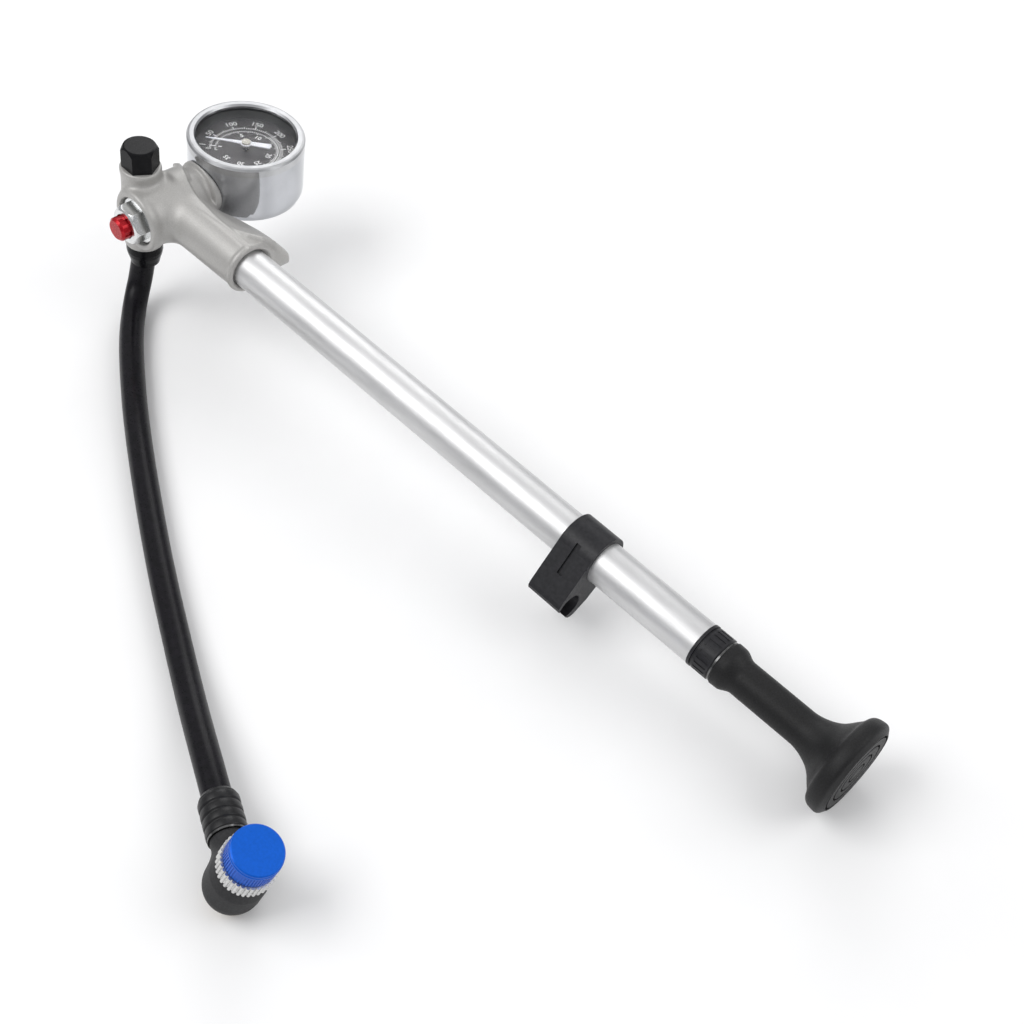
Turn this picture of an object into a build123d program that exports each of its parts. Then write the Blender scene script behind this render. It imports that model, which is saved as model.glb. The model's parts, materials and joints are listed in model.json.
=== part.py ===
from build123d import *
import math
import os

# Shock suspension pump: a short hand pump with a T-shaped cast head, a dial gauge, a bleed button,
# a rigid barrel, a mushroom handle on the piston rod, and a hose that ends in a screw-on chuck.
# Every piece is drawn in the pump's own frame (+X from the head to the handle along the barrel,
# +Y from the bleed button to the gauge, +Z out of the dial, origin where the two axes cross) and
# is then set down the way the pump lies: rim of the handle and hose on the surface z = 0.
# Millimetres, degrees.

# ---------------------------------------------------------------- driving dimensions
TUBE_R = 6.7
TUBE_BORE_R = 5.7
TUBE_START = 22.0
TUBE_END = 235.8
ROD_R = 3.0
ROD_START = 36.0

SOCKET_END = 41.0
SOCKET_R = 8.3
HEAD_ROOT_R = 10.6
CROSSBAR_R = 10.3
BLEED_FACE = -15.9
BOSS_X = -7.0
BOSS_Y = -7.6
BOSS_R = 6.8
BOSS_TOP = 15.0
BOSS_BOTTOM = -16.5

GAUGE_Y = 30.6
GAUGE_TOP = 15.9
GAUGE_BOTTOM = -6.4
GAUGE_CASE_R = 19.85
DIAL_WINDOW_R = 17.0
ARM_R = 9.2
ARM_Z = 2.0
STEM_R = 4.4
NEEDLE_ANGLE = -139.0
NEEDLE_Z = 12.1

HOSE_R = 4.135
COLLAR_BOTTOM = -24.4
FITTING_END = -22.4

KNOB_R = 15.0
KNOB_X = 286.8
RIM_EDGE_X = 288.8
PAD_X = 288.2
PAD_R = 12.5
PAD_GROOVES = (3.0, 6.1, 9.2, 12.25)
PAD_GROOVE_WIDTH = 0.6
CORE_R = 4.0
CORE_END = 284.0
ROD_END = 268.0
HANDLE_START = 243.6
HANDLE_END = 289.6

CLIP_START = 186.3
CLIP_END = 198.5
CLIP_R = 8.2
CLIP_HOSE_Y = -12.0
CLIP_HOSE_Z = -11.0

CHUCK_R = 7.97
KNOB_BLUE_R = 7.0

RUN_GAP = 0.05        # radial clearance of parts that slide or turn on one another
PITCH = 5.4           # barrel slopes down towards the handle
ROLL = 5.6            # head leans towards the gauge
HEAD_AT = (-134.6, -14.1)
CHUCK_AT = (195.98, -132.5, 12.0)
CHUCK_HEADING = 36.5
CHUCK_LEAN = 24.6
PORT_HEADING = -25.1
PORT_PITCH = -3.0
PORT_LENGTH = 12.2
BOOT_LENGTH = 13.3

# The hose's route from the collar under the head, down to the surface, along it and up to the boot.
# Measured from the point of the surface that lies under the pump's own origin.
HOSE_ROUTE = [
    (-9.7, -10.15, 20.0),
    (-10.6, -12.2, 12.4),
    (-9.25, -16.15, 7.2),
    (-4.65, -21.55, 4.45),
    (4.4, -29.2, 4.2),
    (18.6, -39.1, 4.2),
    (44.0, -55.3, 4.2),
    (90.0, -81.2, 4.2),
    (126.0, -99.4, 4.2),
    (146.0, -109.2, 6.6),
]
HOSE_LAST_RUN = 11.5

# ---------------------------------------------------------------- small helpers
def cyl_x(radius, x0, x1):
    return Pos((x0 + x1) / 2, 0, 0) * Rot(Y=90) * Cylinder(radius, x1 - x0)


def cyl_y(radius, y0, y1):
    return Pos(0, (y0 + y1) / 2, 0) * Rot(X=-90) * Cylinder(radius, y1 - y0)


def cyl_z(radius, z0, z1):
    return Pos(0, 0, (z0 + z1) / 2) * Cylinder(radius, z1 - z0)


def ring_x(outer, inner, x0, x1):
    return cyl_x(outer, x0, x1) - cyl_x(inner, x0 - 1, x1 + 1)


def ring_y(outer, inner, y0, y1):
    return cyl_y(outer, y0, y1) - cyl_y(inner, y0 - 1, y1 + 1)


def ring_z(outer, inner, z0, z1):
    return cyl_z(outer, z0, z1) - cyl_z(inner, z0 - 1, z1 + 1)


def o_ring(major, minor):
    return Torus(major, minor)


def turned(points):
    """Solid of revolution about Z from (radius, height) points."""
    outline = Polyline(*[(r, 0, z) for r, z in points], close=True)
    return revolve(make_face(outline), Axis.Z)


def along_x(shape, x=0.0):
    return Pos(x, 0, 0) * Rot(Y=90) * shape


def along_y(shape, y=0.0):
    """Turns a shape's Z axis to point along -Y, out of the bleed end."""
    return Pos(0, y, 0) * Rot(X=90) * shape


def around_z(shape, count, start=0.0):
    return [Rot(Z=start + i * 360 / count) * shape for i in range(count)]


def hexagon(across_flats, height):
    return extrude(RegularPolygon(across_flats / 2, 6, major_radius=False), height)


def standing_box(width, depth, height):
    return Box(width, depth, height, align=(Align.CENTER, Align.CENTER, Align.MIN))


def coil(radius, wire, height, turns):
    path = Helix(pitch=(height - 2 * wire) / turns, height=height - 2 * wire, radius=radius)
    start = Plane(origin=path @ 0, z_dir=path % 0)
    return Pos(0, 0, wire) * sweep(start * Circle(wire), path=path)


# ---------------------------------------------------------------- head
def head_casting():
    socket = turned([(0, 0), (HEAD_ROOT_R, 0), (8.9, 20.0), (SOCKET_R, SOCKET_END), (0, SOCKET_END)])
    body = along_x(socket) + Sphere(HEAD_ROOT_R)
    body += cyl_y(CROSSBAR_R, BLEED_FACE, 8.0)
    body += Pos(BOSS_X, BOSS_Y, 0) * cyl_z(BOSS_R, BOSS_BOTTOM, BOSS_TOP)
    body += Pos(0, 0, ARM_Z) * cyl_y(ARM_R, 0.0, 20.0)
    web = Polyline((2, 0), (6, 13), (16, 13.6), (26, 14.6), (34, 16.2), (SOCKET_END, 15.6), (SOCKET_END, 0),
                   close=True)
    web = Pos(0, 0, -9.6) * extrude(make_face(web), 7.0)
    body += web
    case_room = Pos(0, GAUGE_Y, 0) * cyl_z(GAUGE_CASE_R + 0.02, GAUGE_BOTTOM - 0.02, 30)
    body -= case_room
    # barrel seat and air passage
    body -= cyl_x(TUBE_R, 20.6, SOCKET_END + 1)
    body -= cyl_x(2.4, 0, 21)
    # bleed valve seat
    body -= cyl_y(8.3, BLEED_FACE - 1, -13.2)
    body -= cyl_y(3.9, -14, -3.4)
    body -= cyl_y(1.4, -4, 5.5)
    # gauge stem seat
    body -= cyl_y(STEM_R, 5.0, 25)
    # valve chamber under the hexagon cap and hose seat under the boss
    at_boss = Pos(BOSS_X, BOSS_Y, 0)
    body -= at_boss * cyl_z(4.1, 2.0, BOSS_TOP + 1)
    body -= at_boss * cyl_z(1.4, -10, 3)
    body -= at_boss * cyl_z(3.9, BOSS_BOTTOM - 1, -8.0)
    body -= at_boss * Pos(0, 0, BOSS_TOP) * o_ring(CAP_SEAL_R, 0.5)
    link = Line((BOSS_X, BOSS_Y, 0), (0, -1.5, 0))
    body -= sweep(Plane(origin=link @ 0, z_dir=link % 0) * Circle(1.3), path=link)
    return body


def barrel_seal():
    return ring_x(TUBE_R - 0.02, TUBE_BORE_R, 20.62, TUBE_START)


# ---------------------------------------------------------------- valve under the hexagon cap
CAP_SEAL_R = 4.62
CAP_HEIGHT = 7.8
CAP_ACROSS = 10.8


def hex_cap():
    cap = Pos(0, 0, BOSS_TOP) * hexagon(CAP_ACROSS, CAP_HEIGHT)
    crown = turned([(0, 0), (6.25, 0), (6.25, 6.3), (5.4, 7.6), (4.8, CAP_HEIGHT), (0, CAP_HEIGHT)])
    cap &= Pos(0, 0, BOSS_TOP) * crown
    cap -= Pos(0, 0, BOSS_TOP) * o_ring(CAP_SEAL_R, 0.5)
    cap += cyl_z(4.05, 9.0, BOSS_TOP)
    cap -= cyl_z(2.2, 8.0, 13.0)
    return cap


def hex_cap_seal():
    return Pos(0, 0, BOSS_TOP) * o_ring(CAP_SEAL_R, 0.49)


def check_ball():
    return Pos(0, 0, 3.9) * Sphere(1.9)


def check_spring():
    return Pos(0, 0, 5.85) * coil(1.5, 0.3, 7.1, 4)


# ---------------------------------------------------------------- bleed valve (drawn along Z, out of the head)
NUT_BACK = 14.6
NUT_FRONT = 20.0
BUTTON_BACK = 18.0
BUTTON_FRONT = 23.4
BUTTON_R = 4.06


def bleed_washer():
    washer = turned([(3.9, 13.2), (8.0, 13.2), (8.0, NUT_BACK - 0.4), (7.7, NUT_BACK), (3.9, NUT_BACK)])
    return along_y(washer)


def bleed_nut():
    nut = Pos(0, 0, NUT_BACK) * hexagon(12.0, NUT_FRONT - NUT_BACK)
    nut &= turned([(0, NUT_BACK), (6.9, NUT_BACK), (6.9, NUT_FRONT - 1.6), (6.3, NUT_FRONT - 0.5),
                   (5.6, NUT_FRONT), (0, NUT_FRONT)])
    nut += cyl_z(3.88, 7.0, NUT_BACK)
    nut -= cyl_z(BUTTON_R + 0.25, 16.3, NUT_FRONT + 1)
    nut -= cyl_z(1.3, 6, 17)
    nut -= cyl_z(2.9, 6, 11.0)
    return along_y(nut)


def bleed_button():
    button = turned([
        (0, BUTTON_BACK), (BUTTON_R, BUTTON_BACK), (BUTTON_R, 22.6), (3.3, BUTTON_FRONT), (0, BUTTON_FRONT)])
    flute = Pos(BUTTON_R, 0, BUTTON_BACK - 1) * standing_box(0.9, 1.7, 5.5)
    button -= around_z(flute, 6)
    return along_y(button)


def bleed_stem():
    stem = turned([(0, 8.6), (1.2, 8.6), (1.2, 9.2), (2.7, 9.2), (2.7, 10.0), (1.2, 10.0), (1.2, BUTTON_BACK),
                   (0, BUTTON_BACK)])
    return along_y(stem)


def bleed_spring():
    return along_y(Pos(0, 0, 3.5) * coil(1.9, 0.3, 4.1, 3))


def bleed_seal():
    return along_y(Pos(0, 0, 10.5) * o_ring(1.7, 0.49))


# ---------------------------------------------------------------- gauge (drawn about its own axis)
def gauge_case():
    case = turned([(0, GAUGE_BOTTOM), (17.4, GAUGE_BOTTOM), (19.0, -5.9), (19.75, -4.0), (GAUGE_CASE_R, -2.6),
                   (GAUGE_CASE_R, 12.6), (0, 12.6)])
    case -= cyl_z(18.7, GAUGE_BOTTOM + 1.2, 14)
    case -= cyl_y(STEM_R, -22, -15)
    return case


def gauge_bezel():
    return turned([
        (18.75, 12.6), (19.98, 12.6), (19.98, 15.0), (19.5, 15.7), (18.9, GAUGE_TOP), (17.5, GAUGE_TOP),
        (DIAL_WINDOW_R, 15.2), (DIAL_WINDOW_R, 14.5), (18.75, 14.5),
    ])


def gauge_lens():
    return cyl_z(18.7, 13.3, 14.5)


def gauge_dial():
    return ring_z(18.6, 0.9, 9.0, 9.5)


def lens_seat():
    return ring_z(18.7, 17.6, 9.5, 13.3)


def gauge_needle():
    blade = Polyline((-8.4, -1.25), (-8.4, 1.25), (0, 0.9), (13.8, 0.12), (13.8, -0.12), (0, -0.9), close=True)
    needle = Pos(0, 0, NEEDLE_Z) * extrude(make_face(blade), 0.3)
    needle += cyl_z(2.0, NEEDLE_Z, NEEDLE_Z + 0.3)
    needle -= cyl_z(0.5, 11, 13)
    return Rot(Z=NEEDLE_ANGLE) * needle


def needle_hub():
    return cyl_z(1.5, NEEDLE_Z + 0.3, 13.0)


def needle_arbor():
    return cyl_z(0.5, 1.4, NEEDLE_Z + 0.3) + cyl_z(1.6, 3.0, 5.0)


def movement_frame():
    lower = Pos(0, 0, 0.5) * Box(11, 8, 1.0)
    upper = Pos(0, 0, 6.5) * Box(11, 8, 1.0)
    posts = [Pos(x, y, 3.5) * Cylinder(0.8, 6.0) for x in (-4.4, 4.4) for y in (-2.9, 2.9)]
    frame = lower + upper + posts
    frame -= cyl_z(0.55, -1, 8)
    return frame


def bourdon_tube():
    """Flattened tube bent three quarters of the way round the case, from the stem block to its tip."""
    turn = CenterArc((0, 0, 3.5), 12.5, -70, 270)
    section = Plane(origin=turn @ 0, z_dir=turn % 0) * Ellipse(1.0, 2.6)
    return sweep(section, path=turn)


def gauge_stem():
    stem = Pos(0, -GAUGE_Y, 0) * cyl_y(STEM_R, 6.0, 17.0)
    stem += Pos(0, -11.8, 1.4) * Box(7.0, 5.0, 7.4)
    stem -= Pos(0, -GAUGE_Y, 0) * cyl_y(1.0, 5.0, 15.0)
    stem -= bourdon_tube()
    return stem


def gauge_seal():
    return ring_y(STEM_R - 0.05, 1.6, 5.02, 5.98)


# ---------------------------------------------------------------- barrel, piston and handle
def barrel_tube():
    return ring_x(TUBE_R, TUBE_BORE_R, TUBE_START, TUBE_END)


def end_cap():
    cap = turned([
        (ROD_R + 0.3, 228.6), (TUBE_BORE_R, 228.6), (TUBE_BORE_R, TUBE_END), (6.85, TUBE_END), (6.85, 236.7),
        (6.4, 236.8), (6.4, 237.3), (6.75, 237.4), (6.75, 242.6), (6.5, 242.9), (ROD_R + 0.3, 242.9),
    ])
    notch = Pos(6.95, 0, 238.1) * standing_box(0.8, 0.8, 4.0)
    cap -= around_z(notch, 22)
    cap -= cyl_z(4.3, 228, 234.0)
    cap -= cyl_z(4.5, 239.4, 241.2)
    return along_x(cap)


def rod_bush():
    return ring_x(4.3, ROD_R + RUN_GAP, 228.8, 234.0)


def rod_wiper():
    return ring_x(4.48, ROD_R + 0.08, 239.42, 241.18)


def piston_rod():
    return cyl_x(ROD_R, ROD_START, ROD_END)


def piston_head():
    head = turned([
        (0, 30.0), (5.2, 30.0), (5.64, 30.5), (5.64, 33.0), (4.1, 33.0), (4.1, 34.8), (5.64, 34.8),
        (5.64, 40.0), (0, 40.0),
    ])
    head -= cyl_z(ROD_R, ROD_START, 41.0)
    return along_x(head)


def piston_seal():
    return along_x(Pos(0, 0, 33.9) * o_ring(4.9, 0.76))


def rod_bumper():
    return ring_x(5.3, ROD_R, 40.0, 43.0)


def handle_outline():
    """Edges of the grip's outline in the XY plane: X along the barrel, Y the radius."""
    collar = Polyline((HANDLE_START, 0), (HANDLE_START, 6.5), (244.1, 6.85), (246.2, 6.8))
    waist = Spline((246.2, 6.8), (248.3, 6.1), (250.4, 5.35), tangents=((1, -0.05), (1, -0.08)))
    neck = Line((250.4, 5.35), (271.0, 5.35))
    flare = Spline((271.0, 5.35), (275.6, 6.2), (279.4, 8.2), (282.0, 11.0), (283.6, 13.4),
                   tangents=((1, 0), (0.35, 1)))
    rim = Spline((283.6, 13.4), (284.9, 14.6), (KNOB_X, KNOB_R), (RIM_EDGE_X, 14.2),
                 tangents=((0.5, 1), (0.55, -1)))
    face = Polyline((RIM_EDGE_X, 14.2), (HANDLE_END, PAD_R + 0.4), (HANDLE_END, PAD_R + 0.1),
                    (PAD_X, PAD_R + 0.1), (PAD_X, 0), (HANDLE_START, 0))
    return [collar, waist, neck, flare, rim, face]


def handle_grip():
    grip = revolve(make_face(Wire(sum((list(c.edges()) for c in handle_outline()), []))), Axis.X)
    grip -= cyl_x(CORE_R, HANDLE_START - 1, CORE_END)
    return grip


def handle_core():
    return cyl_x(CORE_R, HANDLE_START + 0.4, CORE_END) - cyl_x(ROD_R, HANDLE_START, ROD_END)


def handle_ring():
    return ring_x(6.55, ROD_R + 0.2, 243.05, HANDLE_START)


def handle_pad():
    pad = cyl_x(PAD_R, PAD_X, HANDLE_END)
    for radius in PAD_GROOVES:
        outer, inner = radius + PAD_GROOVE_WIDTH / 2, radius - PAD_GROOVE_WIDTH / 2
        pad -= ring_x(outer, inner, HANDLE_END - 0.7, HANDLE_END + 1)
    return pad


# ---------------------------------------------------------------- hose clip on the barrel
def hose_clip():
    arm = Polyline(
        (-6.35, 5.1), (-16.3, -7.3), (-16.8, -8.6), (-16.6, -9.9), (-12.1, -15.9), (-11.1, -16.8),
        (-9.8, -17.1),
        (-8.5, -16.7), (-3.8, -14.1), (-0.6, -11.1), (4.6, -6.8), (0, 0), close=True)
    arm = Plane.YZ * make_face(arm)
    clip = Pos(CLIP_START, 0, 0) * extrude(arm, CLIP_END - CLIP_START)
    clip += cyl_x(CLIP_R, CLIP_START, CLIP_END)
    clip -= cyl_x(TUBE_R + RUN_GAP, CLIP_START - 1, CLIP_END + 1)
    middle = Pos((CLIP_START + CLIP_END) / 2, CLIP_HOSE_Y, CLIP_HOSE_Z)
    length = CLIP_END - CLIP_START + 2
    clip -= middle * Rot(Y=90) * Cylinder(HOSE_R, length)
    outer_face = Pos(middle.position.X, -8.7, 2.2) * Rot(X=51.3)
    clip -= outer_face * Box(1.8, 10.5, 1.4)
    return clip


# ---------------------------------------------------------------- hose
def hose_fitting():
    fitting = cyl_z(3.88, BOSS_BOTTOM, -8.2) + cyl_z(2.2, FITTING_END, BOSS_BOTTOM)
    fitting -= cyl_z(1.0, COLLAR_BOTTOM, -8)
    return fitting


def hose_collar():
    collar = turned([
        (2.2, BOSS_BOTTOM), (6.2, BOSS_BOTTOM), (6.2, -19.2), (5.9, -20.8), (5.35, -22.6),
        (4.95, COLLAR_BOTTOM), (0, COLLAR_BOTTOM), (0, FITTING_END), (2.2, FITTING_END)])
    first, second = hose_points()[:2]
    pocket = Plane(origin=first, z_dir=second - first) * Pos(0, 0, 3) * Cylinder(HOSE_R, 6)
    return standing() * Pos(BOSS_X, BOSS_Y, 0) * collar - pocket


def hose_points():
    """The route's points set down with the pump; the last run lies on the axis of the chuck's port."""
    points = [Vector(x + HEAD_AT[0], y + HEAD_AT[1], z) for x, y, z in HOSE_ROUTE]
    for reach in (HOSE_LAST_RUN, 0.0):
        points.append((port_frame() * Pos(0, 0, PORT_LENGTH + BOOT_LENGTH + reach)).position)
    return points


def hose():
    points = hose_points()
    runs = [b - a for a, b in zip(points, points[1:])]
    radii = []
    for before, after in zip(runs, runs[1:]):
        half_turn = math.radians(before.get_angle(after)) / 2
        radii.append(0.45 * min(before.length, after.length) / math.tan(half_turn))
    path = FilletPolyline(*points, radius=radii)
    tube = sweep(Plane(origin=path @ 0, z_dir=path % 0) * Circle(HOSE_R), path=path)
    print("hose points", [tuple(round(c, 2) for c in p) for p in points])
    print("hose length", round(path.length, 1), "volume ratio",
          round(tube.volume / (path.length * math.pi * HOSE_R ** 2), 4))
    print("hose radii", [round(r, 1) for r in radii])
    return tube


# ---------------------------------------------------------------- chuck (drawn about its own axis)
def chuck_place():
    return Pos(HEAD_AT[0], HEAD_AT[1], 0) * Pos(*CHUCK_AT)


def port_frame():
    return chuck_place() * Rot(Z=PORT_HEADING) * Rot(Y=PORT_PITCH) * Rot(Y=-90)


def chuck_frame():
    return chuck_place() * Rot(Z=CHUCK_HEADING) * Rot(Y=CHUCK_LEAN)


CHUCK_TOP = 6.3
COLLAR_BACK = 6.4
DOME_Z = -4.4
DOME_FOOT = -10.0
LINER_FOOT = -11.3
LINER_R = 5.25
VALVE_R = 3.85
VALVE_SEAT = -5.0
COLLAR_TOP = 10.9
KNOB_TOP = 17.0


def chuck_body():
    barrel = cyl_z(CHUCK_R, DOME_Z, 3.0) + Pos(0, 0, DOME_Z) * Sphere(CHUCK_R)
    barrel += turned([(0, 3.0), (CHUCK_R, 3.0), (7.3, 5.6), (7.0, CHUCK_TOP), (0, CHUCK_TOP)])
    barrel -= cyl_z(9.0, -20, DOME_FOOT)
    neck = cyl_z(4.9, 0, PORT_LENGTH - 0.6)
    body = chuck_frame() * barrel + port_frame() * neck
    body -= chuck_frame() * cyl_z(LINER_R + RUN_GAP, -13, CHUCK_TOP + 1)
    body -= port_frame() * cyl_z(2.0, 3, PORT_LENGTH + 1)
    return body


def chuck_liner():
    liner = turned([(0, LINER_FOOT), (4.05, LINER_FOOT), (4.9, -10.6), (LINER_R, -10.1), (LINER_R, COLLAR_BACK),
                    (0, COLLAR_BACK)])
    liner -= cyl_z(VALVE_R, -13, VALVE_SEAT)
    liner -= cyl_z(2.6, -6, CHUCK_TOP + 1)
    return liner


def chuck_gasket():
    return ring_z(2.6, 1.6, VALVE_SEAT, -3.9)


def chuck_pin():
    return cyl_z(1.2, -4.6, 10.2) + cyl_z(2.2, 0.5, 1.5)


def chuck_collar():
    ring = ring_z(7.35, 2.7, COLLAR_BACK, COLLAR_TOP)
    tooth = Pos(7.35, 0, (COLLAR_BACK + COLLAR_TOP) / 2) * Cylinder(0.5, COLLAR_TOP - COLLAR_BACK)
    ring += around_z(tooth, 36)
    return ring


def chuck_knob():
    knob = turned([
        (0, COLLAR_TOP + 0.1), (7.0, COLLAR_TOP + 0.1), (7.15, COLLAR_TOP + 0.3), (7.15, 15.9),
        (KNOB_BLUE_R, 16.1), (KNOB_BLUE_R, 16.7), (6.7, KNOB_TOP), (0, KNOB_TOP)])
    groove = Pos(7.35, 0, COLLAR_TOP) * standing_box(0.8, 0.34, 4.6)
    knob -= around_z(groove, 60)
    knob -= cyl_z(1.6, 11, 14.0)
    return knob


def hose_ring():
    return cyl_z(5.45, PORT_LENGTH - 0.6, PORT_LENGTH)


def hose_boot():
    ridges = 4
    shoulder = 1.6
    end = PORT_LENGTH + BOOT_LENGTH
    pitch = (BOOT_LENGTH - shoulder) / ridges
    points = [(0, PORT_LENGTH), (5.4, PORT_LENGTH)]
    for i in range(ridges):
        z = PORT_LENGTH + i * pitch
        points += [(5.6, z + 0.3), (5.6, z + pitch - 0.6), (5.2, z + pitch - 0.4), (5.2, z + pitch)]
    points += [(5.2, end - shoulder + 0.1), (HOSE_R + 0.2, end), (0, end)]
    return turned(points)


# ---------------------------------------------------------------- setting the pump down and writing it out
def standing():
    """Where the pump's own frame goes: the handle's rim just touches z = 0."""
    tilt = Rot(Y=PITCH) * Rot(X=-ROLL)
    rim_drop = -(tilt * handle_grip()).bounding_box().min.Z
    return Pos(HEAD_AT[0], HEAD_AT[1], rim_drop) * tilt


def main():
    pump = standing()
    at_boss = pump * Pos(BOSS_X, BOSS_Y, 0)
    at_gauge = pump * Pos(0, GAUGE_Y, 0)
    at_chuck = chuck_frame()
    pieces = {
        "head_casting": (pump, head_casting),
        "barrel_seal": (pump, barrel_seal),
        "hex_cap": (at_boss, hex_cap),
        "hex_cap_seal": (at_boss, hex_cap_seal),
        "check_ball": (at_boss, check_ball),
        "check_spring": (at_boss, check_spring),
        "bleed_washer": (pump, bleed_washer),
        "bleed_nut": (pump, bleed_nut),
        "bleed_button": (pump, bleed_button),
        "bleed_stem": (pump, bleed_stem),
        "bleed_spring": (pump, bleed_spring),
        "bleed_seal": (pump, bleed_seal),
        "gauge_case": (at_gauge, gauge_case),
        "gauge_bezel": (at_gauge, gauge_bezel),
        "gauge_lens": (at_gauge, gauge_lens),
        "gauge_dial": (at_gauge, gauge_dial),
        "lens_seat": (at_gauge, lens_seat),
        "gauge_needle": (at_gauge, gauge_needle),
        "needle_hub": (at_gauge, needle_hub),
        "needle_arbor": (at_gauge, needle_arbor),
        "movement_frame": (at_gauge, movement_frame),
        "bourdon_tube": (at_gauge, bourdon_tube),
        "gauge_stem": (at_gauge, gauge_stem),
        "gauge_seal": (pump, gauge_seal),
        "barrel_tube": (pump, barrel_tube),
        "end_cap": (pump, end_cap),
        "rod_bush": (pump, rod_bush),
        "rod_wiper": (pump, rod_wiper),
        "piston_rod": (pump, piston_rod),
        "piston_head": (pump, piston_head),
        "piston_seal": (pump, piston_seal),
        "rod_bumper": (pump, rod_bumper),
        "handle_grip": (pump, handle_grip),
        "handle_core": (pump, handle_core),
        "handle_ring": (pump, handle_ring),
        "handle_pad": (pump, handle_pad),
        "hose_clip": (pump, hose_clip),
        "hose_fitting": (at_boss, hose_fitting),
        "hose_collar": (Location(), hose_collar),
        "hose": (Location(), hose),
        "hose_boot": (port_frame(), hose_boot),
        "hose_ring": (port_frame(), hose_ring),
        "chuck_body": (Location(), chuck_body),
        "chuck_liner": (at_chuck, chuck_liner),
        "chuck_gasket": (at_chuck, chuck_gasket),
        "chuck_pin": (at_chuck, chuck_pin),
        "chuck_collar": (at_chuck, chuck_collar),
        "chuck_knob": (at_chuck, chuck_knob),
    }
    os.makedirs("parts", exist_ok=True)
    on_hose = ("hose", "hose_boot", "hose_ring", "chuck_body", "chuck_liner", "chuck_gasket",
               "chuck_pin", "chuck_collar", "chuck_knob")
    boxes = []
    for name, (place, make) in pieces.items():
        shape = place * make()
        export_step(shape, f"parts/{name}.step")
        if name not in on_hose:
            boxes.append(shape.bounding_box())
    low = [min(getattr(b.min, a) for b in boxes) for a in "XYZ"]
    high = [max(getattr(b.max, a) for b in boxes) for a in "XYZ"]
    print("pump without hose:", [round(v, 2) for v in low], [round(v, 2) for v in high])
    print("box centre:", round((low[0] + high[0]) / 2, 2), round((low[1] + high[1]) / 2, 2))


main()
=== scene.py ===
import json
import math

import bpy
import numpy as np
from mathutils import Matrix, Vector


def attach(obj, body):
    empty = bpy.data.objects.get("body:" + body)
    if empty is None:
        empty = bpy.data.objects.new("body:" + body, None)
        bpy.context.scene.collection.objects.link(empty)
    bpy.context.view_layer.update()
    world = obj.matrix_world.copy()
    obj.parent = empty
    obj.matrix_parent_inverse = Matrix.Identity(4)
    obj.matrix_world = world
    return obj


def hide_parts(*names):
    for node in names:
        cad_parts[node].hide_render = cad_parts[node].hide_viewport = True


# Shock suspension pump. Pieces are drawn in millimetres in the pump's own frame (+X along the barrel to
# the handle, +Y from the bleed button to the gauge, +Z out of the dial), or in the chuck's, and are then
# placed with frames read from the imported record's joints.
MM = 0.001
GAUGE_Y = 30.6
CASE_R = 19.93
BORE_R = 6.75
SOCKET_END = 41.0
BOSS_AT = (-7.0, -7.6)
BLEED_FACE = -15.9
CHUCK_R = 7.97
DOME_Z = -4.4
CHUCK_TOP = 6.3
NECK_END = 11.6
LINER_ROOM_R = 5.31
PORT_HEADING = -25.1
PORT_PITCH = -3.0
BOOT_START = 12.2
BOOT_LENGTH = 13.3
BOOT_RIDGES = 4
HOSE_R = 4.135

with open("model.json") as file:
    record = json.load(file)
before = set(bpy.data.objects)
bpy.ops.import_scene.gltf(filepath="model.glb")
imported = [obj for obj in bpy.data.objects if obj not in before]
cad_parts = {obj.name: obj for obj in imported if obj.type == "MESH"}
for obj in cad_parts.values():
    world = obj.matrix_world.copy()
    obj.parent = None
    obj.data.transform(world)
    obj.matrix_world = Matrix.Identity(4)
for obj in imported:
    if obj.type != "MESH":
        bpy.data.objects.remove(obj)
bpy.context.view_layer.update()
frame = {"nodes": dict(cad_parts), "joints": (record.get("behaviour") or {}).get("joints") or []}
nodes = frame["nodes"]
joints = {j["name"]: j for j in frame["joints"]}


def frame_of(x, y, z, origin):
    place = Matrix((x, y, z)).transposed().to_4x4()
    place.translation = origin
    return place


def pump_frame():
    x, y, z = (Vector(joints[n]["axis"]) for n in ("handle_slide", "bleed_press", "needle_turn"))
    place = frame_of(x, y, z, Vector())
    gauge_pivot = Vector((0, GAUGE_Y, 12.0)) * MM
    place.translation = Vector(joints["needle_turn"]["pos_m"]) - place @ gauge_pivot
    return place


def chuck_frame():
    z = Vector(joints["coupler_turn"]["axis"])
    x = Vector((0, 0, 1)).cross(z).normalized()
    return frame_of(x, z.cross(x), z, Vector(joints["coupler_turn"]["pos_m"]) - z * 9.0 * MM)


def port_frame():
    heading, pitch = math.radians(PORT_HEADING), math.radians(PORT_PITCH)
    z = Vector((-math.cos(heading) * math.cos(pitch), -math.sin(heading) * math.cos(pitch), math.sin(pitch)))
    x = Vector((0, 0, 1)).cross(z).normalized()
    return frame_of(x, z.cross(x), z, CHUCK.translation)


PUMP = pump_frame()
CHUCK = chuck_frame()
PORT = port_frame()
GAUGE = PUMP @ Matrix.Translation(Vector((0, GAUGE_Y, 0)) * MM)


# ---------------------------------------------------------------- camera
def add_camera():
    data = bpy.data.cameras.new("camera")
    data.lens = 53.85
    data.sensor_width = 36.0
    data.clip_start = 0.01
    camera = bpy.data.objects.new("camera", data)
    right = Vector((0.70730, 0.70691, 0.00125))
    forward = Vector((-0.46377, 0.46536, -0.75389))
    place = Vector((0.2395, -0.2283, 0.3622))
    camera.matrix_world = frame_of(right, right.cross(forward).normalized(), -forward, place)
    bpy.context.collection.objects.link(camera)
    bpy.context.scene.camera = camera


# ---------------------------------------------------------------- materials
def shader(name):
    material = bpy.data.materials.new(name)
    material.use_nodes = True
    tree = material.node_tree
    return material, tree, tree.nodes["Principled BSDF"]


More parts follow.
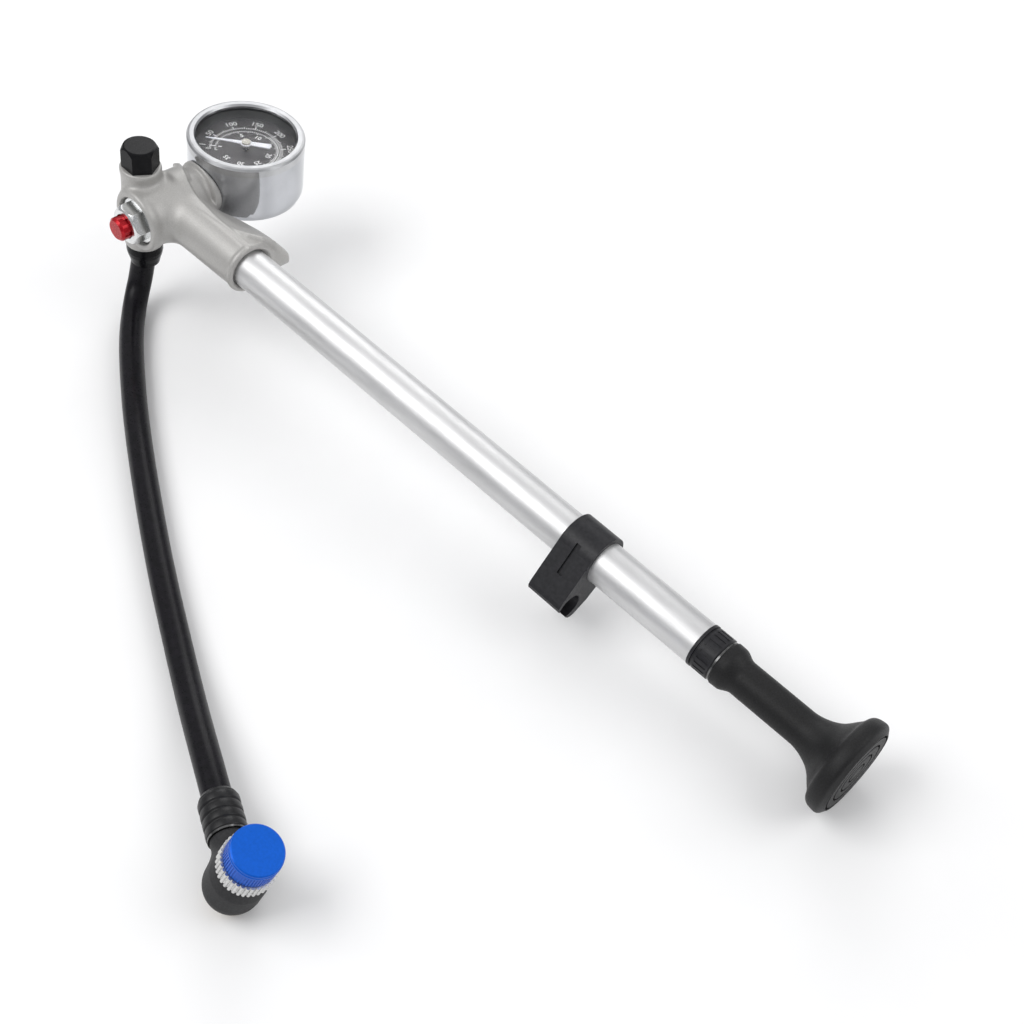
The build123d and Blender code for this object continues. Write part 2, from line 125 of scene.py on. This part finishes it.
def noise(tree, scale, detail=3.0, stretch=(1, 1, 1)):
    """A noise pattern in the row frame; scale is in cells per metre."""
    place = tree.nodes.new("ShaderNodeTexCoord")
    mapping = tree.nodes.new("ShaderNodeMapping")
    mapping.inputs["Scale"].default_value = stretch
    pattern = tree.nodes.new("ShaderNodeTexNoise")
    pattern.inputs["Scale"].default_value = scale
    pattern.inputs["Detail"].default_value = detail
    tree.links.new(place.outputs["Object"], mapping.inputs["Vector"])
    tree.links.new(mapping.outputs["Vector"], pattern.inputs["Vector"])
    return pattern.outputs["Fac"]


def spread(tree, value, low, high, start=0.3, end=0.7):
    ramp = tree.nodes.new("ShaderNodeMapRange")
    ramp.inputs["From Min"].default_value = start
    ramp.inputs["From Max"].default_value = end
    ramp.inputs["To Min"].default_value = low
    ramp.inputs["To Max"].default_value = high
    tree.links.new(value, ramp.inputs["Value"])
    return ramp.outputs["Result"]


def colours(tree, value, dark, light, start=0.3, end=0.7):
    ramp = tree.nodes.new("ShaderNodeValToRGB")
    ramp.color_ramp.elements[0].position = start
    ramp.color_ramp.elements[0].color = (*dark, 1)
    ramp.color_ramp.elements[1].position = end
    ramp.color_ramp.elements[1].color = (*light, 1)
    tree.links.new(value, ramp.inputs["Fac"])
    return ramp.outputs["Color"]


def bump(tree, bsdf, value, height, strength=1.0):
    node = tree.nodes.new("ShaderNodeBump")
    node.inputs["Distance"].default_value = height * MM
    node.inputs["Strength"].default_value = strength
    tree.links.new(value, node.inputs["Height"])
    tree.links.new(node.outputs["Normal"], bsdf.inputs["Normal"])


def finish(name, dark, light, rough, metallic=0.0, tint_scale=900, grain_scale=2600, grain=0.01,
           stretch=(1, 1, 1), coat=0.0, coat_rough=0.1, specular=0.5, tint_range=(0.3, 0.7)):
    material, tree, bsdf = shader(name)
    bsdf.inputs["Metallic"].default_value = metallic
    bsdf.inputs["Coat Weight"].default_value = coat
    bsdf.inputs["Coat Roughness"].default_value = coat_rough
    bsdf.inputs["Specular IOR Level"].default_value = specular
    tint = noise(tree, tint_scale, 4.0, stretch)
    fine = noise(tree, grain_scale, 2.0, stretch)
    tree.links.new(colours(tree, tint, dark, light, *tint_range), bsdf.inputs["Base Color"])
    tree.links.new(spread(tree, fine, *rough), bsdf.inputs["Roughness"])
    if grain:
        bump(tree, bsdf, fine, grain)
    return material


def lens_glass():
    """Clear lens, seen mostly through; what it adds is a faint grey veil, a painted reflection haze in its
    colour, and its highlights.
    """
    material, tree, bsdf = shader("lens_glass")
    bsdf.inputs["Specular IOR Level"].default_value = 0.8
    veil_pattern = noise(tree, 120, 2.0)
    tree.links.new(spread(tree, veil_pattern, 0.02, 0.08), bsdf.inputs["Roughness"])
    tree.links.new(spread(tree, veil_pattern, 0.04, 0.06), bsdf.inputs["Alpha"])
    # painted reflection: the grey colour stands for the haze that reflections lay over the dial
    tree.links.new(colours(tree, veil_pattern, (0.3, 0.31, 0.33), (0.4, 0.41, 0.43)), bsdf.inputs["Base Color"])
    return material


def bezel_chrome():
    """Chrome ring: satin on the face that looks out of the dial, bright round the side."""
    material, tree, bsdf = shader("bezel_chrome")
    bsdf.inputs["Metallic"].default_value = 1.0
    surface_point = tree.nodes.new("ShaderNodeNewGeometry")
    facing = tree.nodes.new("ShaderNodeVectorMath")
    facing.operation = "DOT_PRODUCT"
    facing.inputs[1].default_value = joints["needle_turn"]["axis"]
    tree.links.new(surface_point.outputs["Normal"], facing.inputs[0])
    tree.links.new(spread(tree, facing.outputs["Value"], 0.12, 0.46, 0.3, 0.8), bsdf.inputs["Roughness"])
    tint = noise(tree, 200, 2.0)
    tree.links.new(colours(tree, tint, (0.46, 0.465, 0.475), (0.54, 0.545, 0.555)), bsdf.inputs["Base Color"])
    return material


def make_materials():
    return {
        "cast": finish("cast_grey", (0.36, 0.353, 0.34), (0.46, 0.452, 0.437), (0.42, 0.56), metallic=0.35,
                       tint_scale=3600, grain_scale=4600, grain=0.008, coat=0.2, coat_rough=0.24),
        "chrome": finish("chrome", (0.46, 0.47, 0.49), (0.6, 0.61, 0.64), (0.06, 0.13), metallic=1.0,
                         tint_scale=60, grain=0.0),
        "nickel": finish("nickel_plate", (0.7, 0.71, 0.71), (0.82, 0.83, 0.83), (0.2, 0.28), metallic=1.0,
                         tint_scale=200, grain=0.0),
        # silver rings given a near-black metal colour: painted shade for their mostly dark, hidden look, so
        # only glints show
        "painted_shade_ring": finish("painted_shade_ring", (0.1, 0.1, 0.1), (0.16, 0.16, 0.16), (0.14, 0.24), metallic=1.0,
                            tint_scale=900, grain=0.0),
        "bezel": bezel_chrome(),
        "tube": finish("drawn_aluminium", (0.6, 0.6, 0.602), (0.7, 0.7, 0.702), (0.42, 0.5), metallic=0.85,
                       tint_scale=300, grain_scale=1500, grain=0.001, stretch=(0.12, 1, 1)),
        "bright": finish("turned_aluminium", (0.52, 0.52, 0.52), (0.68, 0.68, 0.67), (0.24, 0.4),
                         metallic=1.0, tint_scale=900, grain=0.004),
        "black_cap": finish("black_moulding", (0.004, 0.004, 0.005), (0.008, 0.008, 0.009), (0.2, 0.26),
                            tint_scale=300, grain=0.0, specular=0.1),
        "black_plastic": finish("black_plastic", (0.012, 0.012, 0.014), (0.022, 0.022, 0.025), (0.34, 0.48),
                                tint_scale=900, grain=0.006, specular=0.25),
        "rubber": finish("grip_rubber", (0.006, 0.006, 0.006), (0.014, 0.014, 0.015), (0.42, 0.6),
                         tint_scale=2600, grain_scale=3600, grain=0.04, specular=0.25),
        "boot_rubber": finish("boot_rubber", (0.005, 0.005, 0.006), (0.012, 0.012, 0.013), (0.3, 0.42),
                              tint_scale=900, grain_scale=3000, grain=0.006, specular=0.3),
        "soft_rubber": finish("chuck_rubber", (0.018, 0.018, 0.019), (0.03, 0.03, 0.032), (0.5, 0.62),
                              tint_scale=1600, grain_scale=3000, grain=0.012, specular=0.2),
        "hose": finish("hose_rubber", (0.005, 0.005, 0.006), (0.01, 0.009, 0.012), (0.26, 0.36),
                       tint_scale=500, grain_scale=1800, grain=0.004, specular=0.13),
        "seal": finish("seal_rubber", (0.01, 0.01, 0.01), (0.02, 0.02, 0.02), (0.4, 0.55), grain=0.01),
        "dial": finish("dial_face", (0.05, 0.047, 0.05), (0.07, 0.066, 0.069), (0.4, 0.55),
                       tint_scale=300, grain=0.0),
        "marks": finish("dial_marks", (0.72, 0.72, 0.72), (0.9, 0.9, 0.9), (0.4, 0.5),
                        tint_scale=1500, grain=0.0),
        "needle": finish("needle_paint", (0.72, 0.73, 0.78), (0.86, 0.87, 0.92), (0.3, 0.4),
                         tint_scale=400, grain=0.0),
        "hub": finish("needle_hub_brass", (0.4, 0.385, 0.34), (0.54, 0.52, 0.47), (0.34, 0.5), metallic=0.5,
                      tint_scale=900, grain=0.004),
        "brass": finish("brass", (0.5, 0.36, 0.16), (0.7, 0.52, 0.26), (0.25, 0.4),
                        metallic=1.0, grain=0.004),
        "steel": finish("steel", (0.5, 0.5, 0.51), (0.66, 0.66, 0.67), (0.2, 0.34),
                        metallic=1.0, grain=0.004),
        "red": finish("red_anodised", (0.33, 0.003, 0.008), (0.45, 0.006, 0.014), (0.2, 0.32), metallic=0.5,
                      tint_scale=500, grain=0.003, coat=0.2, coat_rough=0.12, specular=0.2),
        "blue": finish("blue_anodised", (0.002, 0.095, 0.52), (0.003, 0.11, 0.6), (0.3, 0.4), metallic=0.3,
                       tint_scale=1400, grain_scale=3400, grain=0.003, specular=0.2),
        "white_plastic": finish("white_plastic", (0.7, 0.7, 0.68), (0.82, 0.82, 0.8), (0.35, 0.5),
                                grain=0.004),
        "glass": lens_glass(),
        "floor": finish("floor", (0.86, 0.86, 0.86), (0.9, 0.9, 0.9), (0.75, 0.9), tint_scale=12, grain=0.0),
    }


# ---------------------------------------------------------------- pieces in mesh code
def add_mesh(name, points, faces, place, material, body, smooth=True):
    """Millimetre points in a local frame, set down in the row frame; the object stays at the origin."""
    mesh = bpy.data.meshes.new(name)
    mesh.from_pydata([place @ (Vector(p) * MM) for p in points], [], faces)
    mesh.materials.append(material)
    mesh.update()
    for polygon in mesh.polygons:
        polygon.use_smooth = smooth
    piece = bpy.data.objects.new(name, mesh)
    bpy.context.collection.objects.link(piece)
    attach(piece, body)
    return piece


def lathe(profile, count=96):
    """Points and faces of an open (radius, height) profile turned about Z; end radii of 0 close it."""
    points, rings = [], []
    for radius, height in profile:
        if radius == 0:
            rings.append([len(points)] * count)
            points.append((0, 0, height))
            continue
        rings.append(list(range(len(points), len(points) + count)))
        for i in range(count):
            angle = 2 * math.pi * i / count
            points.append((radius * math.cos(angle), radius * math.sin(angle), height))
    faces = []
    for low, high in zip(rings, rings[1:]):
        for i in range(count):
            j = (i + 1) % count
            corners = [low[i], low[j], high[j], high[i]]
            faces.append([c for k, c in enumerate(corners) if c not in corners[:k]])
    return points, faces


def rounded(profile, radius, steps=4):
    """The profile with its inner corners rounded to a radius, less where the runs are short."""
    done = [profile[0]]
    for before, corner, after in zip(profile, profile[1:], profile[2:]):
        a, c, b = Vector(before), Vector(corner), Vector(after)
        reach = min(radius, (a - c).length * 0.48, (b - c).length * 0.48)
        start, end = c + (a - c).normalized() * reach, c + (b - c).normalized() * reach
        for i in range(steps + 1):
            t = i / steps
            done.append(tuple(start * (1 - t) ** 2 + c * 2 * t * (1 - t) + end * t ** 2))
    return done + [profile[-1]]


# ---------------------------------------------------------------- cast shapes from distance fields
def sample(low, high, step):
    axes = [np.arange(a, b + step, step, dtype=np.float32) for a, b in zip(low, high)]
    return np.meshgrid(*axes, indexing="ij")


def rod(u, v, w, radius, start, end, edge):
    """Distance to a round bar of given radius along w, with rounded ends."""
    out = np.hypot(u, v) - (radius - edge)
    along = np.abs(w - (start + end) / 2) - ((end - start) / 2 - edge)
    return np.hypot(np.maximum(out, 0), np.maximum(along, 0)) + np.minimum(np.maximum(out, along), 0) - edge


def bead(x, y, z, path, radius):
    """Distance to a round cord along a path of points."""
    best = np.full_like(x, 1e3)
    for a, b in zip(path, path[1:]):
        a, b = np.array(a, np.float32), np.array(b, np.float32)
        run = b - a
        u, v, w = x - a[0], y - a[1], z - a[2]
        t = np.clip((u * run[0] + v * run[1] + w * run[2]) / (run @ run), 0, 1)
        away = np.sqrt((u - t * run[0]) ** 2 + (v - t * run[1]) ** 2 + (w - t * run[2]) ** 2)
        best = np.minimum(best, away)
    return best - radius


def join(a, b, fillet):
    mix = np.clip(0.5 + 0.5 * (b - a) / fillet, 0, 1)
    return b + (a - b) * mix - fillet * mix * (1 - mix)


def cut(a, b, fillet=0.3):
    return -join(-a, b, fillet)


def along_knots(value, knots, levels):
    return np.interp(value, knots, levels).astype(np.float32)


def step_up(value, start, end):
    t = np.clip((value - start) / (end - start), 0, 1)
    return t * t * (3 - 2 * t)


def surface(field, low, step):
    """Points and quads of the field's zero level: one point for each cell that the surface crosses."""
    shape = tuple(n - 1 for n in field.shape)
    total = np.zeros(shape + (3,), np.float32)
    count = np.zeros(shape, np.float32)
    edges = []
    for axis in range(3):
        a = np.moveaxis(field, axis, 0)
        first, second = a[:-1], a[1:]
        crosses = (first < 0) != (second < 0)
        t = np.where(crosses, first / np.where(crosses, first - second, 1), 0)
        crosses, t, inward = (np.moveaxis(q, 0, axis) for q in (crosses, t, first < 0))
        edges.append((axis, crosses, inward))
        one, two = (k for k in range(3) if k != axis)
        for d1 in (0, 1):
            for d2 in (0, 1):
                part = [slice(None)] * 3
                part[one] = slice(d1, d1 + shape[one])
                part[two] = slice(d2, d2 + shape[two])
                hit = crosses[tuple(part)]
                count += hit
                total[..., axis] += np.where(hit, t[tuple(part)], 0)
                total[..., one] += hit * d1
                total[..., two] += hit * d2
    used = count > 0
    number = np.full(shape, -1, np.int64)
    number[used] = np.arange(int(used.sum()))
    cells = np.argwhere(used)
    points = np.array(low) + step * (cells + total[used] / count[used][:, None])
    quads = []
    for axis, crosses, inward in edges:
        one, two = (k for k in range(3) if k != axis)
        inner = [slice(None)] * 3
        inner[one] = slice(1, shape[one])
        inner[two] = slice(1, shape[two])
        at = np.argwhere(crosses[tuple(inner)])
        out = inward[tuple(inner)][tuple(at.T)]
        at[:, one] += 1
        at[:, two] += 1
        ring = []
        for d1, d2 in ((1, 1), (0, 1), (0, 0), (1, 0)):
            cell = at.copy()
            cell[:, one] -= d1
            cell[:, two] -= d2
            ring.append(number[tuple(cell.T)])
        ring = np.stack(ring, 1)
        flip = out == (axis == 1)
        ring[flip] = ring[flip][:, ::-1]
        quads.append(ring)
    return points.tolist(), np.concatenate(quads).tolist()


RIDGE = [(-12, 7.4), (-7.4, 7.0), (-1.6, 5.1), (3.9, 2.9), (9, 2.2), (15.9, 1.4), (25.8, 0.3), (32.1, 0.6),
         (35.5, 1.8), (38.5, 5.0), (41, 9.0)]


def head_field(x, y, z):
    socket_r = along_knots(x, [0, 12, 20, 32, 41], [9.4, 8.95, 8.75, 8.65, 8.4])
    socket = rod(y, z, x, socket_r, -4, SOCKET_END, 0.8)
    crossbar = rod(x, z, y, 10.2 + 0.35 * step_up(-y, 11.5, 14), BLEED_FACE, 7.5, 1.1)
    boss = rod(x - BOSS_AT[0], y - BOSS_AT[1], z, 6.6 + 0.3 * step_up(z, 11, 14), -16.5, 15, 0.7)
    arm_r = along_knots(y, [0, 8, 11, 14, 20], [9.3, 9.3, 9.6, 9.4, 9.2])
    arm = rod(x, z - 2.0, y, arm_r, 0, 20, 0.3)
    body = join(join(socket, crossbar, 4.5), arm, 2.5)
    body = join(body, boss, 2.4)
    # the face beyond the ridge lies lower than the face before it
    ridge_y = along_knots(x, [p[0] for p in RIDGE], [p[1] for p in RIDGE])
    beyond = step_up(y - ridge_y, 0.0, 0.9) * step_up(z, 0.5, 4.0) * (1 - step_up(x, 31.0, 36.0))
    beyond = beyond * np.maximum(step_up(x, 9, 13), 1 - step_up(y, 9.2, 10.4))
    body = body + 1.25 * beyond
    # gusset between the arm and the socket
    top = 0.52 * y + 0.854 * z - along_knots(x, [4, 10, 18, 27], [4.2, 5.2, 7.0, 7.9])
    side_knots = [8, 12, 17.5, 24.3, 31.7, 38.4, SOCKET_END]
    side = 0.957 * y + 0.29 * z - along_knots(x, side_knots, [8.5, 10.5, 12.15, 13.8, 15.4, 15.5, 14.9])
    end = -join(z + 9.6, SOCKET_END - x, 9.0)
    gusset = np.maximum(np.maximum(end, -y - 1.0), 3.0 - x)
    gusset = -join(join(-top, -side, 2.2), -gusset, 1.4)
    body = join(body, gusset, 1.6)
    crescent = [(28.5, 1.0, 7.2), (32.5, 1.6, 7.9), (35.4, 3.0, 8.1), (38.2, 5.9, 7.3), (39.7, 9.5, 4.9),
                (39.7, 12.3, 1.3), (39.0, 13.4, -2.2)]
    body = join(body, bead(x, y, z, crescent, 1.4), 0.5)
    hook = [(-8.8, 7.3, 7.6), (-6.2, 7.0, 9.3), (-1.6, 5.6, 10.1), (2.5, 4.0, 10.1)]
    body = join(body, bead(x, y, z, hook, 0.7), 1.2)
    lip = np.hypot(np.hypot(y, z) - 7.75, x - 39.7) - 1.25
    body = join(body, lip, 0.5)
    body = cut(body, rod(x, y - GAUGE_Y, z, CASE_R, -6.5, 40, 0.2), 0.3)
    body = cut(body, np.hypot(y, z) - BORE_R - 0.8 * np.maximum(x - 40.0, 0) + 10 * (x < 20), 0.25)
    return cut(body, rod(x, z, y, 8.35, -30, -13.2, 0.1), 0.3)


def make_head(material):
    low, high, step = (-18.5, -17.5, -18.5), (43.0, 21.5, 17.5), 0.3
    points, quads = surface(head_field(*sample(low, high, step)), low, step)
    piece = add_mesh("head_cast", points, quads, PUMP, material, "pump")
    fairing = piece.modifiers.new("fairing", "SMOOTH")
    fairing.factor = 0.5
    fairing.iterations = 3
    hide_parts("head_casting")


def chuck_field(x, y, z, port):
    along = x * port[0] + y * port[1] + z * port[2]
    off = np.sqrt(np.maximum(x * x + y * y + z * z - along * along, 0))
    barrel_r = along_knots(z, [DOME_Z, 1.5, 4.0, CHUCK_TOP], [CHUCK_R, 7.9, 7.45, 7.0])
    barrel = rod(x, y, z, barrel_r, DOME_Z, CHUCK_TOP, 0.5)
    dome = np.sqrt(x * x + y * y + (z - DOME_Z) ** 2) - CHUCK_R
    neck_r = along_knots(along, [0, 6, 8.5, NECK_END], [5.2, 4.85, 4.85, 4.95])
    neck = np.maximum(off - neck_r, np.maximum(-along, along - NECK_END))
    body = join(np.minimum(barrel, dome), neck, 2.6)
    body = np.maximum(body, along - NECK_END)
    body = np.maximum(body, -10.0 - z)
    return np.maximum(body, LINER_ROOM_R - np.hypot(x, y))


def make_chuck_body(material):
    port = (CHUCK.to_3x3().transposed() @ PORT.to_3x3().col[2])
    low, high, step = (-16.5, -16.5, -13.0), (16.5, 16.5, 8.5), 0.24
    points, quads = surface(chuck_field(*sample(low, high, step), port), low, step)
    piece = add_mesh("chuck_shell", points, quads, CHUCK, material, "pump")
    fairing = piece.modifiers.new("fairing", "SMOOTH")
    fairing.factor = 0.5
    fairing.iterations = 2
    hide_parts("chuck_body")
    return piece


# ---------------------------------------------------------------- hose
def make_hose(material):
    """The hose's line repeats the route of the CAD tube, in metres."""
    route = [
        (-0.1443, -0.02425, 0.0200), (-0.1452, -0.0263, 0.0124), (-0.14385, -0.03025, 0.0072),
        (-0.13925, -0.03565, 0.00445), (-0.1302, -0.0433, 0.0042), (-0.1160, -0.0532, 0.0042),
        (-0.0906, -0.0694, 0.0042), (-0.0446, -0.0953, 0.0042), (-0.0086, -0.1135, 0.0042),
        (0.0114, -0.1233, 0.0066), (0.02792, -0.13093, 0.01006), (0.03832, -0.1358, 0.01067),
    ]
    data = bpy.data.curves.new("hose_line", "CURVE")
    data.dimensions = "3D"
    line = data.splines.new("NURBS")
    line.points.add(len(route) - 1)
    for point, place in zip(line.points, route):
        point.co = (*place, 1)
    line.order_u = 3
    line.use_endpoint_u = True
    line.resolution_u = 24
    data.bevel_depth = HOSE_R * MM
    data.bevel_resolution = 10
    data.use_fill_caps = True
    data.materials.append(material)
    piece = bpy.data.objects.new("hose_tube", data)
    bpy.context.collection.objects.link(piece)
    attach(piece, "pump")
    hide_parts("hose")
    return piece, route


def make_boot(material):
    """Ribbed strain relief, tapered at the hose's end."""
    end = BOOT_START + BOOT_LENGTH
    pitch = (BOOT_LENGTH - 1.6) / BOOT_RIDGES
    profile = [(0, BOOT_START), (5.3, BOOT_START)]
    for i in range(BOOT_RIDGES):
        z = BOOT_START + i * pitch
        profile += [(5.62, z + 0.3), (5.66, z + pitch * 0.5), (5.6, z + pitch - 0.5)]
        profile += [(5.22, z + pitch - 0.35), (5.22, z + pitch - 0.05)]
    profile += [(5.3, end - 1.5), (4.9, end - 0.7), (4.3, end), (0, end)]
    piece = add_mesh("boot_ribbed", *lathe(rounded(profile, 0.22)), PORT, material, "pump")
    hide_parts("hose_boot")
    return piece


# ---------------------------------------------------------------- gauge dial
def flat_bar(a, b, width, z):
    """Four corners of a thin painted bar from a to b on the dial."""
    a, b = Vector(a), Vector(b)
    side = Vector((a.y - b.y, b.x - a.x)).normalized() * width / 2
    return [(*(a + side), z), (*(a - side), z), (*(b - side), z), (*(b + side), z)]


def polar(radius, degrees):
    return radius * math.cos(math.radians(degrees)), radius * math.sin(math.radians(degrees))


ZERO = 231.4
DEGREES_PER_STEP = 35.0 / 10
DIAL_Z = 9.53


def dial_bars():
    bars = []
    for i in range(73):
        angle = ZERO - i * DEGREES_PER_STEP
        reach = 13.6 if i % 10 == 0 else 13.0 if i % 5 == 0 else 12.6
        width = 0.44 if i % 10 == 0 else 0.3
        bars.append(flat_bar(polar(11.75, angle), polar(reach, angle), width, DIAL_Z))
    for i in range(66):
        angle = 236.0 - i * 3.95
        reach = 9.5 if i % 5 == 0 else 10.0
        bars.append(flat_bar(polar(10.7, angle), polar(reach, angle), 0.28, DIAL_Z))
    for radius, width in ((10.85, 0.26), (11.5, 0.2)):
        for i in range(100):
            a, b = 96 - i * 1.2, 96 - (i + 1) * 1.2
            bars.append(flat_bar(polar(radius, a), polar(radius, b), width, DIAL_Z))
    for near, far in ((8.2, 9.5), (10.4, 12.3), (13.8, 15.9)):
        bars.append(flat_bar(polar(near, -136.5), polar(far, -136.5), 0.5, DIAL_Z))
    return bars


def add_number(text, size, radius, degrees):
    """Corner points and faces of a number that stands upright along its radius on the dial."""
    data = bpy.data.curves.new("number", "FONT")
    data.body = text
    data.size = size * MM
    data.offset = 0.05 * MM
    data.align_x = "CENTER"
    data.align_y = "CENTER"
    maker = bpy.data.objects.new("number", data)
    mesh = bpy.data.meshes.new_from_object(maker)
    x, y = polar(radius, degrees)
    turn = math.radians(degrees - 90)
    points = []
    for vertex in mesh.vertices:
        u, v = vertex.co.x / MM, vertex.co.y / MM
        across, up = u * math.cos(turn) - v * math.sin(turn), u * math.sin(turn) + v * math.cos(turn)
        points.append((x + across, y + up, DIAL_Z))
    faces = [list(p.vertices) for p in mesh.polygons]
    bpy.data.objects.remove(maker)
    bpy.data.meshes.remove(mesh)
    bpy.data.curves.remove(data)
    return points, faces


def make_dial_marks(material):
    points, faces = [], []
    for corners in dial_bars():
        faces.append(list(range(len(points), len(points) + 4)))
        points += corners
    numbers = [(str(50 * i), 2.9, 15.0, ZERO - 35.0 * i) for i in range(1, 8)]
    numbers += [(str(5 * (i + 1)), 2.5, 8.0, 152 - 40.7 * i) for i in range(7)]
    for text, size, radius, degrees in numbers:
        more, shapes = add_number(text, size, radius, degrees)
        faces += [[v + len(points) for v in face] for face in shapes]
        points += more
    piece = add_mesh("dial_marks", points, faces, GAUGE, material, "pump", smooth=False)


# ---------------------------------------------------------------- CAD nodes that stay, with their finishes
FINISHES = {
    "cast": [],
    "chrome": ["gauge_case"],
    "nickel": ["bleed_washer", "bleed_nut"],
    # the hose and handle rings are silver; their near-black colour is painted shade
    "painted_shade_ring": ["hose_ring", "handle_ring"],
    "bezel": ["gauge_bezel"],
    "tube": ["barrel_tube"],
    "bright": ["chuck_collar", "handle_core", "piston_head"],
    "black_cap": ["hex_cap", "hose_collar"],
    "black_plastic": ["end_cap", "hose_clip"],
    "rubber": ["handle_grip", "handle_pad"],
    "seal": ["barrel_seal", "hex_cap_seal", "bleed_seal", "lens_seat", "gauge_seal", "rod_wiper",
             "piston_seal", "rod_bumper", "chuck_gasket"],
    "dial": ["gauge_dial"],
    "needle": ["gauge_needle"],
    "hub": ["needle_hub"],
    "brass": ["movement_frame", "bourdon_tube", "gauge_stem", "bleed_stem", "hose_fitting",
              "chuck_liner", "chuck_pin"],
    "steel": ["needle_arbor", "check_ball", "check_spring", "bleed_spring", "piston_rod"],
    "red": ["bleed_button"],
    "blue": ["chuck_knob"],
    "white_plastic": ["rod_bush"],
    "glass": ["gauge_lens"],
}
EDGES = {"hex_cap": 0.8, "gauge_bezel": 0.3, "bleed_nut": 0.8, "bleed_button": 0.15, "bleed_washer": 0.15,
         "hose_clip": 0.7, "end_cap": 0.08, "chuck_knob": 0.06, "chuck_collar": 0.08, "hose_collar": 0.3,
         "handle_pad": 0.1}


def dress_nodes(materials):
    for finish_name, names in FINISHES.items():
        for name in names:
            node = nodes[name]
            node.data.materials.clear()
            node.data.materials.append(materials[finish_name])
    for name, width in EDGES.items():
        rounding = nodes[name].modifiers.new("rounding", "BEVEL")
        rounding.width = width * MM
        rounding.segments = 3
        rounding.limit_method = "ANGLE"
        rounding.angle_limit = math.radians(32)
        rounding.harden_normals = False


# ---------------------------------------------------------------- floor and light
def make_floor(material):
    mesh = bpy.data.meshes.new("floor")
    size = 3.0
    corners = [(-size, -size, 0), (size, -size, 0), (size, size, 0), (-size, size, 0)]
    mesh.from_pydata(corners, [], [(0, 1, 2, 3)])
    mesh.materials.append(material)
    floor = bpy.data.objects.new("floor", mesh)
    bpy.context.collection.objects.link(floor)


def add_light(name, place, size, power, target=(0, 0, 0.03)):
    data = bpy.data.lights.new(name, "AREA")
    data.shape = "RECTANGLE"
    data.size, data.size_y = size
    data.energy = power
    light = bpy.data.objects.new(name, data)
    light.location = place
    light.rotation_euler = (Vector(target) - Vector(place)).to_track_quat("-Z", "Y").to_euler()
    bpy.context.collection.objects.link(light)


def light_scene():
    world = bpy.data.worlds.new("studio")
    world.use_nodes = True
    tree = world.node_tree
    place = tree.nodes.new("ShaderNodeTexCoord")
    split = tree.nodes.new("ShaderNodeSeparateXYZ")
    tree.links.new(place.outputs["Generated"], split.inputs["Vector"])
    sky = colours(tree, split.outputs["Z"], (0.30, 0.31, 0.33), (0.95, 0.95, 0.96), 0.0, 0.75)
    tree.links.new(sky, tree.nodes["Background"].inputs["Color"])
    tree.nodes["Background"].inputs["Strength"].default_value = 0.78
    bpy.context.scene.world = world
    add_light("key", (-0.35, -0.55, 0.9), (0.75, 0.6), 5.2)
    add_light("side", (0.7, 0.5, 0.7), (0.7, 0.7), 3.0)
    add_light("back", (-0.6, 0.7, 0.6), (0.6, 0.5), 2.4)


# ---------------------------------------------------------------- scene
add_camera()
materials = make_materials()
hose, route = make_hose(materials["hose"])
boot = make_boot(materials["boot_rubber"])
shell = make_chuck_body(materials["soft_rubber"])
make_head(materials["cast"])
make_dial_marks(materials["marks"])
dress_nodes(materials)
make_floor(materials["floor"])
light_scene()
bpy.context.scene.view_settings.view_transform = "Standard"
